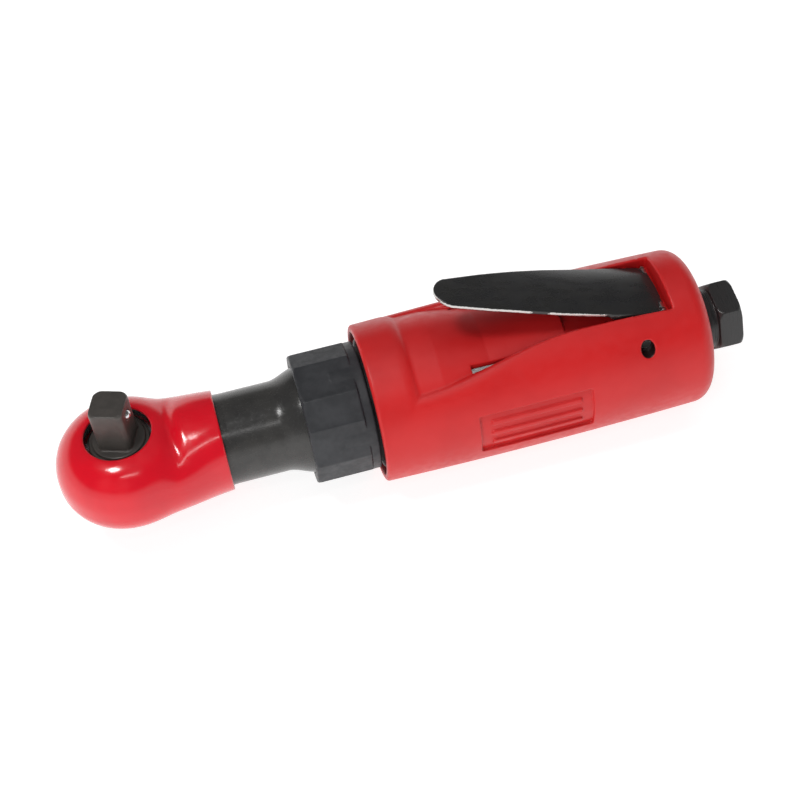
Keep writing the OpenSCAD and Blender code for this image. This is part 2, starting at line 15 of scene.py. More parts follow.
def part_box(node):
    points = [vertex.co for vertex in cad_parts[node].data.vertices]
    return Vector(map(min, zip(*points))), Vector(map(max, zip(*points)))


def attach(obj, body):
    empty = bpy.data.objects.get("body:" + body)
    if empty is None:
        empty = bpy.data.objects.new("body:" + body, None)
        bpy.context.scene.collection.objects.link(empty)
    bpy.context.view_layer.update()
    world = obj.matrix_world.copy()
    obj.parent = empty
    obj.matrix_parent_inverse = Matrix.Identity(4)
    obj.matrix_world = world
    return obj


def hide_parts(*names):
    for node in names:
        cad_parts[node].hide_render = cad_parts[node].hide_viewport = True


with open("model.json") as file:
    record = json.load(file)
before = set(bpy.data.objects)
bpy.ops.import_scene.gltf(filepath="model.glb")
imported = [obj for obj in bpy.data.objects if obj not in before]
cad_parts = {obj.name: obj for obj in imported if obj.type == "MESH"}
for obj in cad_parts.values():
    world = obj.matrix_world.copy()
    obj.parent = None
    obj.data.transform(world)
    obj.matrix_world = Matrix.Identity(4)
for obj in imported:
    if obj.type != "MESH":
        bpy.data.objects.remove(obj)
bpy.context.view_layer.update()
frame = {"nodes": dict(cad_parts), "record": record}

MM = 0.001
NODES = frame["nodes"]


def box_mm(node):
    """Lowest and highest corner of a CAD node, in millimetres."""
    low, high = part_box(node)
    return np.array(low) / MM, np.array(high) / MM


COVER_LOW, COVER_HIGH = box_mm("head_cover")
NUT_LOW, NUT_HIGH = box_mm("clamp_nut")
GRIP_LOW, GRIP_HIGH = box_mm("grip_casing")
DRIVE_LOW, DRIVE_HIGH = box_mm("anvil")
INLET_LOW, INLET_HIGH = box_mm("air_inlet")
PIN_LOW, PIN_HIGH = box_mm("lever_pin")

# Head
COVER_R = -COVER_LOW[0]
COVER_TOP = COVER_HIGH[2]
COVER_BOTTOM = 10.6
COVER_END = COVER_HIGH[0]
COVER_WALL = 1.3
COVER_HOLE_R = 9.46
COVER_LOW_HOLE_R = 8.9
COLLAR_R = 14.2
COLLAR_FRONT = 13
TOP_CORNER = 12
LOW_CORNER = 9.8
CHEEK_TOP = 10.9
CHEEK_BOTTOM = 10.0
CHEEK_SWELL = 2.0
NECK_R = 13.1
NECK_FLARE = 2.4
HOUSING_GAP = 0.05

# Square drive
DRIVE_AF = 9.53
DRIVE_TIP = DRIVE_HIGH[2]
DRIVE_CORNER_R = 6.05
DRIVE_TURN = math.radians(-20)
BALL_Z = DRIVE_TIP - 4.3
BALL_HOLE_R = 1.46
DRUM_R = 9.78
KNOB_R = 8.4
KNOB_TEETH = 36

# Nut
NUT_FRONT = NUT_LOW[0]
NUT_REAR = 66.8
NUT_AF = 37
NUT_CORNER_R = 18.9
NUT_TURN = 40

# Grip
GRIP_FRONT = GRIP_LOW[0]
GRIP_REAR = GRIP_HIGH[0]
GRIP_R = GRIP_HIGH[1]
BORE_R = 19.34
BORE_END = 124.04
PANEL_ANGLE = 87
PANEL_X = 114
PANEL_DEPTH = 0.95
RIB_PITCH = 3.8
RIB_HALF = 0.8
SLOT_FRONT = 98.5
SLOT_REAR = 114.5

# Lever
LEVER_PIN = np.array([(PIN_LOW[0] + PIN_HIGH[0]) / 2, 0, (PIN_LOW[2] + PIN_HIGH[2]) / 2])
LEVER_SLOPE = math.radians(16.8)
LEVER_T = 1.2
LEVER_TIP = -60
LEVER_REAR = 7
LEVER_STATIONS = [-60, -55, -45, -35, -25, -15, -8, 5, 7]
LEVER_HALVES = [4.4, 5.4, 6.9, 8, 8.8, 9.2, 9.4, 9.5, 9.3]
PLATE_TOP = 6.93
EAR_MIDDLE = 8.9

# Air inlet
INLET_AF = 19
INLET_TURN = 40
INLET_END = INLET_HIGH[0]
INLET_HEX_FRONT = 173.8
THREAD_R = 5.6

# Camera
CAMERA_PLACE = (0.0319, -0.2872, 0.3380)
CAMERA_TURN = (40.36, 4.52, -14.73)
CAMERA_LENS = 69.75


# ---------- signed distances, in millimetres ----------

def join(a, b, k):
    """Union of two solids with a fillet of about k."""
    h = np.clip(0.5 + 0.5 * (b - a) / k, 0, 1)
    return b + (a - b) * h - k * h * (1 - h)


def both(a, b, k=0.3):
    """Intersection of two solids with an edge rounded by about k."""
    return -join(-a, -b, k)


def cut(a, b, k=0.3):
    """Solid a with solid b taken away, its edge rounded by about k."""
    return both(a, -b, k)


def corner(u, v, r):
    """Solid below both u = 0 and v = 0, with the corner rounded to radius r."""
    outside = np.hypot(np.maximum(u + r, 0), np.maximum(v + r, 0))
    return outside + np.minimum(np.maximum(u, v) + r, 0) - r


def slab(v, low, high):
    """Between two parallel planes."""
    return np.abs(v - (low + high) / 2) - (high - low) / 2


def smooth_step(v, low, high):
    """0 below low, 1 above high, and a smooth rise between them."""
    t = np.clip((v - low) / (high - low), 0, 1)
    return t * t * (3 - 2 * t)


def hexagon(y, z, af, turn):
    """Hexagonal bar along X, one corner turned from +Z towards -Y by turn degrees."""
    distance = np.full(np.shape(y), -1e3)
    for k in range(6):
        a = math.radians(turn + 30 + 60 * k)
        distance = np.maximum(distance, -math.sin(a) * y + math.cos(a) * z - af / 2)
    return distance


# ---------- mesh of a signed distance ----------

CORNERS = [(i, j, k) for i in (0, 1) for j in (0, 1) for k in (0, 1)]


def slope_of(field, p, step=0.02):
    """Gradient of a field at points p."""
    shifts = np.eye(3) * step
    return np.stack([field(*(p + s).T) - field(*(p - s).T) for s in shifts], axis=1) / (2 * step)


def settle(field, p, home, reach):
    """Moves points onto the zero surface, no further than reach from home."""
    for _ in range(8):
        g = slope_of(field, p)
        size = np.maximum((g * g).sum(1), 0.05)
        p = p - (field(*p.T) / size)[:, None] * g
        p = np.clip(p, home - reach, home + reach)
    return p


def net(field, low, high, cell):
    """Vertices and quads of the zero surface of field(x, y, z) in a box."""
    count = np.ceil((np.array(high) - low) / cell).astype(int) + 1
    x, y, z = np.meshgrid(*[low[i] + cell * np.arange(count[i]) for i in range(3)], indexing="ij")
    inside = field(x, y, z) < 0
    total = sum(inside[i:count[0] - 1 + i, j:count[1] - 1 + j, k:count[2] - 1 + k].astype(np.int8)
                for i, j, k in CORNERS)
    crossed = (total > 0) & (total < 8)
    number = np.full(crossed.shape, -1)
    number[crossed] = np.arange(crossed.sum())
    home = np.array(low) + cell * (np.argwhere(crossed) + 0.5)
    quads = []
    for a in range(3):
        b, c = (a + 1) % 3, (a + 2) % 3
        here = np.moveaxis(inside, a, 0)
        edge = np.moveaxis(here[:-1] != here[1:], 0, a)
        at = np.argwhere(edge)
        for other in (b, c):
            at = at[(at[:, other] > 0) & (at[:, other] < count[other] - 1)]
        ub, uc = np.eye(3, dtype=int)[b], np.eye(3, dtype=int)[c]
        quad = np.stack([number[tuple((at - s).T)] for s in (ub + uc, uc, 0 * ub, ub)], axis=1)
        outward = inside[tuple(at.T)]
        quads.append(np.where(outward[:, None], quad, quad[:, ::-1]))
    return settle(field, home, home, cell * 0.75), np.concatenate(quads)


def make_mesh(name, points, faces, material):
    """Blender object of points in millimetres, smoothly shaded."""
    mesh = bpy.data.meshes.new(name)
    mesh.vertices.add(len(points))
    mesh.vertices.foreach_set("co", (np.asarray(points) * MM).astype(np.float32).ravel())
    mesh.loops.add(faces.size)
    mesh.loops.foreach_set("vertex_index", faces.ravel().astype(np.int32))
    mesh.polygons.add(len(faces))
    starts = np.arange(0, faces.size, faces.shape[1], dtype=np.int32)
    mesh.polygons.foreach_set("loop_start", starts)
    mesh.polygons.foreach_set("use_smooth", np.ones(len(faces), bool))
    mesh.update(calc_edges=True)
    mesh.validate()
    mesh.materials.append(material)
    obj = bpy.data.objects.new(name, mesh)
    bpy.context.scene.collection.objects.link(obj)
    return obj


def shaped(name, field, low, high, cell, material, body, slot, *replaced):
    """Piece made from a signed distance, which rides on a body and stands for CAD nodes."""
    margin = 1.5 * cell
    points, faces = net(field, np.array(low, float) - margin, np.array(high, float) + margin, cell)
    obj = make_mesh(name, points, faces, material)
    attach(obj, body)
    if replaced:
        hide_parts(*replaced)
    return obj


# ---------- materials ----------

class Shader:
    """Small wrapper round a material's node tree and its Principled shader."""

    def __init__(self, name, color, rough, metal=0.0, coat=0.0, coat_rough=0.1, specular=0.5):
        self.material = bpy.data.materials.new(name)
        self.material.use_nodes = True
        self.tree = self.material.node_tree
        self.bsdf = self.tree.nodes["Principled BSDF"]
        self.paint = color
        self.rough = self.gloss = rough
        self.set("Base Color", (*color, 1))
        self.set("Roughness", rough)
        self.set("Metallic", metal)
        self.set("Coat Weight", coat)
        self.set("Coat Roughness", coat_rough)
        self.set("IOR", 1.5)
        self.set("Specular IOR Level", specular)
        self.place = self.node("ShaderNodeTexCoord").outputs["Object"]
        self.height = None

    def set(self, socket, value):
        """Sets an input of the Principled shader, or links a socket to it."""
        if isinstance(value, bpy.types.NodeSocket):
            self.tree.links.new(value, self.bsdf.inputs[socket])
        else:
            self.bsdf.inputs[socket].default_value = value

    def node(self, kind, inputs=None, **settings):
        """New node with its inputs given as values or as sockets to link."""
        made = self.tree.nodes.new(kind)
        for key, value in settings.items():
            setattr(made, key, value)
        for key, value in (inputs or {}).items():
            if isinstance(value, bpy.types.NodeSocket):
                self.tree.links.new(value, made.inputs[key])
            else:
                made.inputs[key].default_value = value
        return made

    def noise(self, size_mm, detail=3.0, stretch=(1, 1, 1)):
        """Noise from 0 to 1 with features of about size_mm, longer along axes of large stretch."""
        scale = [1 / s for s in stretch]
        moved = self.node("ShaderNodeMapping", {"Vector": self.place, "Scale": scale})
        inputs = {"Vector": moved.outputs[0], "Scale": 1 / (size_mm * MM), "Detail": detail,
                  "Roughness": 0.55}
        return self.node("ShaderNodeTexNoise", inputs).outputs["Fac"]

    def ramp(self, value, low, high, to_low=0.0, to_high=1.0):
        """Smooth rise from to_low to to_high while value goes from low to high."""
        inputs = {"Value": value, "From Min": low, "From Max": high,
                  "To Min": to_low, "To Max": to_high}
        made = self.node("ShaderNodeMapRange", inputs, interpolation_type="SMOOTHSTEP")
        return made.outputs["Result"]

    def math(self, operation, a, b):
        return self.node("ShaderNodeMath", {0: a, 1: b}, operation=operation).outputs[0]

    def vector(self, operation, a, b=None):
        inputs = {0: a} if b is None else {0: a, 1: b}
        return self.node("ShaderNodeVectorMath", inputs, operation=operation)

    def mix(self, factor, a, b):
        """Colour between a and b; each of the three is a value or a socket."""
        made = self.node("ShaderNodeMix", data_type="RGBA")
        for index, value in ((0, factor), (6, a), (7, b)):
            if isinstance(value, bpy.types.NodeSocket):
                self.tree.links.new(value, made.inputs[index])
            elif index:
                made.inputs[index].default_value = (*value, 1)
            else:
                made.inputs[index].default_value = value
        return made.outputs[2]

    def tint(self, other, size_mm):
        """Slow change of colour towards another one."""
        mask = self.ramp(self.noise(size_mm), 0.35, 0.7)
        self.paint = self.mix(mask, self.paint, other)
        self.set("Base Color", self.paint)

    def vary_rough(self, spread, size_mm, stretch=(1, 1, 1)):
        """Roughness that wanders by spread either way."""
        grain = self.noise(size_mm, detail=4.0, stretch=stretch)
        self.gloss = self.ramp(grain, 0.3, 0.7, self.rough - spread, self.rough + spread)
        self.set("Roughness", self.gloss)

    def bump(self, size_mm, depth_mm, stretch=(1, 1, 1), detail=2.0):
        """Fine relief, added to any there already."""
        grain = self.noise(size_mm, detail=detail, stretch=stretch)
        inputs = {"Height": grain, "Strength": 1.0, "Distance": depth_mm * MM}
        if self.height is not None:
            inputs["Normal"] = self.height
        self.height = self.node("ShaderNodeBump", inputs).outputs["Normal"]
        self.set("Normal", self.height)

    def worn_edges(self, bare, radius_mm=0.35, low=0.02, high=0.14, metal=None, rough=None):
        """Edges rubbed through to another colour, broken up by noise."""
        bevel = self.node("ShaderNodeBevel", {"Radius": radius_mm * MM}, samples=6).outputs[0]
        plain = self.node("ShaderNodeNewGeometry").outputs["Normal"]
        flat = self.vector("DOT_PRODUCT", bevel, plain).outputs["Value"]
        sharp = self.math("SUBTRACT", 1.0, flat)
        patches = self.ramp(self.noise(1.1, detail=5.0), 0.3, 0.65, 0.35, 1.3)
        broken = self.math("MULTIPLY", sharp, patches)
        self.blend_to(self.ramp(broken, low, high), bare, metal, rough)

    def blend_to(self, mask, color, metal=None, rough=None):
        """Colour, and optionally metal and roughness, change where mask is 1."""
        self.paint = self.mix(mask, self.paint, color)
        self.set("Base Color", self.paint)
        if metal is not None:
            plain = self.bsdf.inputs["Metallic"].default_value
            self.set("Metallic", self.ramp(mask, 0, 1, plain, metal))
        if rough is not None:
            inputs = {0: mask, 2: self.gloss, 3: rough}
            self.gloss = self.node("ShaderNodeMix", inputs, data_type="FLOAT").outputs[0]
            self.set("Roughness", self.gloss)


# Stretch of noise that makes turning marks round the X axis
TURNED = (0.12, 6, 6)


def cover_material():
    """Glossy moulded red of the head cover."""
    s = Shader("cover_red", (0.67, 0.004, 0.015), 0.17, coat=0.22, coat_rough=0.08)
    s.tint((0.60, 0.005, 0.016), 14)
    s.vary_rough(0.05, 5)
    s.bump(6, 0.03)
    s.bump(0.5, 0.002)
    return s.material


def casing_material():
    """Satin red of the grip, with painted shade inside the hole of the lever's pin."""
    s = Shader("casing_red", (0.58, 0.014, 0.015), 0.4, specular=0.4)
    s.tint((0.52, 0.011, 0.012), 22)
    s.vary_rough(0.06, 2.2)
    s.bump(0.35, 0.006, detail=3.0)
    s.bump(7, 0.02)
    s.worn_edges((0.72, 0.10, 0.09), 0.5, 0.03, 0.3)
    # Painted shade: near black within 2.15 mm of the lever pin's axis, so its hole reads as dark.
    offset = s.vector("SUBTRACT", s.place, LEVER_PIN * MM).outputs[0]
    across = s.vector("MULTIPLY", offset, (1, 0, 1)).outputs[0]
    radius = s.vector("LENGTH", across).outputs["Value"]
    s.blend_to(s.ramp(radius, 2.15 * MM, 2.0 * MM), (0.012, 0.004, 0.004))
    return s.material


def neck_material():
    """Blacked steel with a satin polish."""
    s = Shader("neck_steel", (0.038, 0.037, 0.036), 0.24, metal=0.25)
    s.tint((0.056, 0.054, 0.051), 9)
    s.vary_rough(0.05, 1.1)
    s.bump(0.5, 0.003, detail=3.0)
    s.worn_edges((0.32, 0.31, 0.30), 0.3, 0.03, 0.2)
    return s.material


def drive_material():
    """Oiled dark steel, rubbed bare at its edges."""
    s = Shader("drive_steel", (0.066, 0.060, 0.055), 0.36, metal=0.3)
    s.tint((0.083, 0.074, 0.067), 4)
    s.vary_rough(0.08, 1.2)
    s.bump(0.3, 0.004, (1, 1, 4))
    s.worn_edges((0.42, 0.40, 0.38), 0.3, 0.03, 0.22)
    return s.material


def nut_material():
    """Dull black of the clamp nut."""
    s = Shader("nut_black", (0.020, 0.021, 0.024), 0.46)
    s.tint((0.032, 0.033, 0.037), 5)
    s.vary_rough(0.08, 1.4)
    s.bump(0.4, 0.008, detail=3.0)
    s.worn_edges((0.20, 0.20, 0.21), 0.35, 0.05, 0.3, 0.5, 0.35)
    return s.material


def lever_material():
    """Black paint over sheet steel, bare and chipped at the cut edges."""
    s = Shader("lever_black", (0.020, 0.0195, 0.019), 0.3, coat=0.2, coat_rough=0.2)
    s.tint((0.017, 0.017, 0.018), 7)
    s.vary_rough(0.07, 2.5, (4, 1, 1))
    s.bump(2.5, 0.006, (3, 1, 1))
    rim = s.node("ShaderNodeAttribute", attribute_name="rim").outputs["Fac"]
    chipped = s.math("ADD", rim, s.ramp(s.noise(0.8, detail=5.0), 0.35, 0.7, -0.3, 0.25))
    s.blend_to(s.ramp(chipped, 0.35, 0.6), (0.62, 0.62, 0.60), 1.0, 0.3)
    return s.material


def inlet_material():
    """Blacked steel with turning marks."""
    s = Shader("inlet_steel", (0.040, 0.040, 0.040), 0.33, metal=0.3)
    s.tint((0.040, 0.040, 0.040), 4)
    s.vary_rough(0.08, 0.8, TURNED)
    s.bump(0.4, 0.006, TURNED, detail=3.0)
    s.worn_edges((0.30, 0.30, 0.29), 0.3, 0.04, 0.25)
    return s.material


def metal_material(name, color, rough, other, stretch=(1, 1, 1), size=0.6):
    """Bare machined metal with its tool marks."""
    s = Shader(name, color, rough, metal=1.0)
    s.tint(other, 5)
    s.vary_rough(min(0.1, rough * 0.4), size, stretch)
    s.bump(size, 0.005, stretch, detail=3.0)
    return s.material


def motor_material():
    """Machined alloy, with painted shade on its front rim where it sits in the gap behind the nut.
    """
    s = Shader("motor_alloy", (0.52, 0.52, 0.51), 0.36, metal=1.0)
    s.tint((0.42, 0.42, 0.42), 5)
    s.vary_rough(0.1, 0.6, TURNED)
    s.bump(0.6, 0.005, TURNED, detail=3.0)
    # Painted shade: near black, less metallic and rougher ahead of x = 74 to 76 mm, in the gap
    # between nut and grip.
    along = s.node("ShaderNodeSeparateXYZ", {0: s.place}).outputs["X"]
    s.blend_to(s.ramp(along, 76 * MM, 74 * MM), (0.015, 0.015, 0.015), 0.2, 0.5)
    return s.material


def soft_material(name, color, rough, other, grain, depth):
    """Rubber, resin or felt, with a grain of its own."""
    s = Shader(name, color, rough)
    s.tint(other, grain * 6)
    s.vary_rough(0.06, grain * 2)
    s.bump(grain, depth, detail=4.0)
    return s.material


def cad_materials():
    """Material for each material slot of the record."""
    return {
        "dark_steel": neck_material(),
        "cover_red": cover_material(),
        "nut_black": nut_material(),
        "casing_red": casing_material(),
        "lever_black": lever_material(),
        "gear_steel": metal_material(
            "gear_steel", (0.40, 0.40, 0.41), 0.3, (0.33, 0.33, 0.35)),
        "bright_steel": metal_material(
            "bright_steel", (0.66, 0.66, 0.67), 0.2, (0.56, 0.56, 0.58), TURNED),
        "spring_steel": metal_material(
            "spring_steel", (0.48, 0.48, 0.51), 0.28, (0.38, 0.38, 0.42), size=0.3),
        "bronze": metal_material("bronze", (0.52, 0.30, 0.13), 0.38, (0.40, 0.22, 0.10)),
        "brass": metal_material("brass", (0.70, 0.50, 0.20), 0.27, (0.60, 0.40, 0.15), TURNED),
        "motor_alloy": motor_material(),
        "vane_resin": soft_material(
            "vane_resin", (0.20, 0.09, 0.035), 0.45, (0.14, 0.06, 0.025), 0.5, 0.01),
        "seal_rubber": soft_material(
            "seal_rubber", (0.018, 0.018, 0.018), 0.55, (0.03, 0.03, 0.03), 0.4, 0.01),
        "felt": soft_material("felt", (0.55, 0.52, 0.46), 0.95, (0.42, 0.40, 0.36), 0.25, 0.06),
    }


# ---------- head ----------

def dome(x, y, z, grow=0.0):
    """Drum about the drive axis with rounded edges, grown outwards."""
    r = np.hypot(x, y)
    up = corner(r - COVER_R - grow, z - COVER_TOP - grow, TOP_CORNER + grow)
    down = corner(r - COVER_R - grow, -z - COVER_BOTTOM - grow, LOW_CORNER + grow)
    return np.where(z > 0, up, down)


def collar(x, y, z, grow=0.0, end=COVER_END):
    """Round shank behind the dome, with a rounded front shoulder."""
    r = np.hypot(y, z)
    front = corner(r - COLLAR_R - grow, COLLAR_FRONT - x - grow, 5 + grow)
    return both(front, x - end, 0.5)


def cheeks(x, y, z, grow=0.0, end=COVER_END):
    """Sides that run straight from the dome to the end of the shank."""
    wide, narrow = COVER_R - 0.25 + grow, COLLAR_R + grow
    turn = math.atan2(narrow, COVER_END) + math.acos(wide / math.hypot(narrow, COVER_END))
    c, s = math.cos(turn), math.sin(turn)
    side = np.abs(y)
    along = np.clip(x / COVER_END, 0, 1)
    swell = CHEEK_SWELL * along * (1 - along)
    straight = c * x + s * side - wide
    plan = np.where(x * s > side * c, straight, np.hypot(x, y) - wide) - swell
    rise = smooth_step(x, COLLAR_FRONT, COVER_END)
    top = CHEEK_TOP + (COLLAR_R - CHEEK_TOP) * rise + grow
    bottom = CHEEK_BOTTOM + (COLLAR_R - CHEEK_BOTTOM) * along + grow
    up = corner(plan, z - top, top)
    down = corner(plan, -z - bottom, 9.6 + (COLLAR_R - 9.6) * along + grow)
    return both(np.where(z > 0, up, down), x - end, 0.5)


def head_skin(x, y, z, grow=0.0, end=COVER_END):
    """Outside of the cover, or of something inside it when grow is below 0."""
    sides = join(dome(x, y, z, grow), cheeks(x, y, z, grow, end), 1.5)
    return join(sides, collar(x, y, z, grow, end), 1.6)


def head_cover(x, y, z):
    """Thin cover, open at its rear and round the drive and the knob."""
    shell = cut(head_skin(x, y, z), head_skin(x, y, z, -COVER_WALL, 60), 0.2)
    r = np.hypot(x, y)
    shell = cut(shell, both(r - COVER_HOLE_R, -z), 0.7)
    return cut(shell, both(r - COVER_LOW_HOLE_R, z), 0.5)


def housing(x, y, z):
    """Ratchet housing: head under the cover, neck and the flange inside the nut."""
    r = np.hypot(y, z)
    reach = np.hypot(x, y)
    flare = NECK_FLARE * smooth_step(x, 43.5, 52.4)
    neck = both(r - NECK_R - flare, np.abs(x - 41.3) - 14.1)
    flange = both(r - 16.3, slab(x, 52.5, 57.4))
    head = head_skin(x, y, z, -COVER_WALL - HOUSING_GAP, COVER_END + 2)
    body = np.minimum(head, np.minimum(neck, flange))
    chamber = both(reach - 14.4, np.abs(z) - 6.3)
    upper = both(reach - 10.4, -z)
    lower = both(reach - 7, z)
    bore = np.minimum(both(r - 8.3, 9 - x), both(r - 11.4, 23 - x))
    bearing = both(r - 10.4, 41 - x)
    mouth = both(r - 13.9, 54.2 - x)
    hollow = np.minimum.reduce([chamber, upper, lower, bore, bearing, mouth])
    return cut(body, hollow, 0.3)


# ---------- square drive ----------

def to_drive(x, y):
    """Coordinates across the square drive's own flats."""
    c, s = math.cos(DRIVE_TURN), math.sin(DRIVE_TURN)
    return x * c + y * s, -x * s + y * c


def drive(x, y, z):
    """Square drive with its stepped flange, and the drum that the pawl sits in."""
    u, v = to_drive(x, y)
    r = np.hypot(x, y)
    half = DRIVE_AF / 2
    square = both(np.abs(u) - half, np.abs(v) - half, 0.5)
    square = both(square, r - DRIVE_CORNER_R, 0.3)
    tip = both(z - DRIVE_TIP, (r - DRIVE_CORNER_R + 0.55 + z - DRIVE_TIP) * 0.71, 0.25)
    square = both(both(square, tip, 0.3), 7 - z)
    drum = both(r - DRUM_R, slab(z, -6.1, 8))
    journal = corner(r - 8.6, z - 11.2, 0.5)
    step = corner(r - 7.6, z - 12, 0.4)
    base = both(np.minimum(journal, step), 7 - z)
    foot = both(r - 5.98, slab(z, -9.4, 0))
    body = np.minimum.reduce([join(square, base, 0.6), drum, foot])
    hole = both(np.hypot(v, z - BALL_Z) - BALL_HOLE_R, -u)
    shaft = both(r - 3.05, z - 4)
    pocket = both(both(np.abs(u) - 8.2, 1.8 - v), np.abs(z) - 5)
    return cut(body, np.minimum.reduce([hole, shaft, pocket]), 0.12)


def reverser(x, y, z):
    """Knob under the head with its grip bar, and the shaft above it."""
    u, v = to_drive(x, y)
    r = np.hypot(x, y)
    angle = np.arctan2(v, u)
    rim = KNOB_R - 0.16 * (1 + np.cos(KNOB_TEETH * angle))
    disc = corner(r - rim, np.abs(z + 11.5) - 1.9, 0.5)
    bar = both(corner(np.abs(v) - 1.9, -z - 14.95, 0.5), np.maximum(r - 8.3, z + 12))
    shaft = both(r - 2.98, slab(z, -12, 3.6))
    return join(np.minimum(disc, shaft), bar, 0.6)


# ---------- clamp nut and air inlet ----------

def nut(x, y, z):
    """Hexagon nut with flattened corners, and its thread."""
    r = np.hypot(y, z)
    flats = hexagon(y, z, NUT_AF, NUT_TURN)
    corners = hexagon(y, z, 2 * NUT_CORNER_R, NUT_TURN - 30)
    shape = both(both(flats, corners, 0.12), slab(x, NUT_FRONT, NUT_REAR), 0.25)
    shape = both(shape, (r - 18.7 - x + NUT_FRONT) * 0.71, 0.25)
    neck = both(r - 18.6, slab(x, 60, 69.5), 0.3)
    lip = both(r - 15.0 - np.maximum(NUT_FRONT + 0.9 - x, 0), x - 53)
    pocket = both(r - 16.45, slab(x, 52.35, 60))
    thread = both(r - 16.92 + 0.18 * np.cos(2 * math.pi * x / 1.25), 57.9 - x)
    return cut(np.minimum(shape, neck), np.minimum.reduce([lip, pocket, thread]), 0.25)


def inlet(x, y, z):
    """Air inlet: stub, collar and hexagon with its pipe thread."""
    r = np.hypot(y, z)
    ring = corner(r - 9.4, np.abs(x - 170.2) - 2.2, 0.4)
    waist = both(r - 8.6, slab(x, 160, 175))
    stub = both(r - 8.15, slab(x, 154, 169))
    hexes = hexagon(y, z, INLET_AF, INLET_TURN)
    hexes = both(hexes, slab(x, INLET_HEX_FRONT, INLET_END), 0.25)
    hexes = both(hexes, (r - 10.1) * 0.85 - (x - INLET_HEX_FRONT) * 0.5, 0.25)
    hexes = both(hexes, (r - 10.0) * 0.8 + (x - INLET_END) * 0.6, 0.3)
    body = np.minimum.reduce([ring, waist, stub, hexes])
    thread = both(r - THREAD_R - 0.16 * np.cos(2 * math.pi * x / 1.41), 168.8 - x)
    mouth = both(r - 6.6 + (INLET_END - x), INLET_END - 1.6 - x)
    groove = both(7.1 - r, slab(x, 155.6, 157.2))
    hollow = np.minimum.reduce([thread, mouth, r - 4.2, groove])
    return cut(body, hollow, 0.2)


# ---------- grip ----------

def barrel_r(x):
    """Radius of the grip, largest at its middle."""
    return GRIP_R - 0.5 * ((x - 112) / 42) ** 2


def channel_half(x):
    """Half-width of the lever channel at its foot."""
    return 10.1 + 3.9 * (1 - smooth_step(x, 80, 133)) + 0.4 * smooth_step(x, 140, 158)


def channel(x, y, z):
    """Room for the lever: a ramp down from the crease, then the pocket behind it."""
    r = np.hypot(y, z)
    ramp = np.interp(x, [90, 104, 128], [23.45, 20.7, 20.2])
    floor = np.where(x < 127, ramp - r, 18.3 - z)
    floor = np.where(x > 151.5, 16.5 - z, floor)
    sides = np.abs(y) - channel_half(x)
    return both(both(sides, floor, 0.5), np.maximum(slab(x, 84, 157.5), 4 - z), 0.8)


def side_slot(x, y, z):
    """Wedge slot at the foot of the channel's wall."""
    outer = 13.0 - (x - SLOT_FRONT) * 0.115
    wedge = np.maximum(11.0 - np.abs(y), np.abs(y) - outer)
    return np.maximum(np.maximum(wedge, slab(x, SLOT_FRONT, SLOT_REAR)), 10 - z)


def panel(x, y, z):
    """Sunk panel on each side, with plain lengthwise ribs left standing in it."""
    a = math.radians(PANEL_ANGLE)
    side = np.abs(y)
    across = math.cos(a) * side - math.sin(a) * z
    r = np.hypot(y, z)
    edge = corner(np.abs(x - PANEL_X) - 16.5, np.abs(across) - 7, 0.6)
    deep = both(edge, barrel_r(x) - PANEL_DEPTH - r, 0.15)
    rows = np.abs(np.mod(across + RIB_PITCH / 2, RIB_PITCH) - RIB_PITCH / 2) - RIB_HALF
    ribs = both(corner(rows, np.abs(x - PANEL_X) - 13.2, 0.5), np.abs(across) - 5.4)
    ribs = both(ribs, r - barrel_r(x) + 0.3)
    return cut(deep, ribs, 0.3)


def grip(x, y, z):
    """Round grip with the lever's channel and the motor's bore."""
    r = np.hypot(y, z)
    wall = r - barrel_r(x)
    front = corner(wall, GRIP_FRONT - x, 0.9)
    rear = corner(wall, x - GRIP_REAR, 4.8)
    body = np.where(x < 119, front, rear)
    soft = 0.7 + 4.6 * (1 - smooth_step(x, 88, 128))
    body = cut(body, channel(x, y, z), soft)
    body = cut(body, side_slot(x, y, z), 0.25)
    body = cut(body, panel(x, y, z), 0.25)
    ears = both(slab(np.abs(y), 7.9, 10.1), slab(x, 139.4, 156))
    ears = both(ears, 9.4 - z)
    pin_r = np.where(np.abs(y) > 16.2, 2.0, 1.55)
    pin = np.hypot(x - LEVER_PIN[0], z - LEVER_PIN[2]) - pin_r
    valve = both(np.hypot(x - 139, y) - np.where(z > 11.55, 3.62, 4.6), -11 - z)
    rim = both(r - 21, x - 74)
    motor = both(r - BORE_R, slab(x, 60, BORE_END))
    socket = both(r - 8.2, 151 - x)
    hollow = np.minimum.reduce([ears, pin, valve, rim, motor, socket])
    return cut(body, hollow, 0.35)


# ---------- throttle lever ----------

def lever_half(u):
    """Half-width of the lever along its length."""
    return np.interp(u, LEVER_STATIONS, LEVER_HALVES)


def lever_parts(x, y, z):
    """Lever's own coordinates, and how far a point is from the middle of its sheet."""
    c, s = math.cos(LEVER_SLOPE), math.sin(LEVER_SLOPE)
    dx, dz = x - LEVER_PIN[0], z - LEVER_PIN[2]
    u, w = dx * c - dz * s, dx * s + dz * c
    arch = 0.3 + 1.1 * smooth_step(u, -45, -5)
    middle = PLATE_TOP - LEVER_T / 2 - arch * (np.abs(y) / 9.5) ** 2.2
    return u, w, w - middle


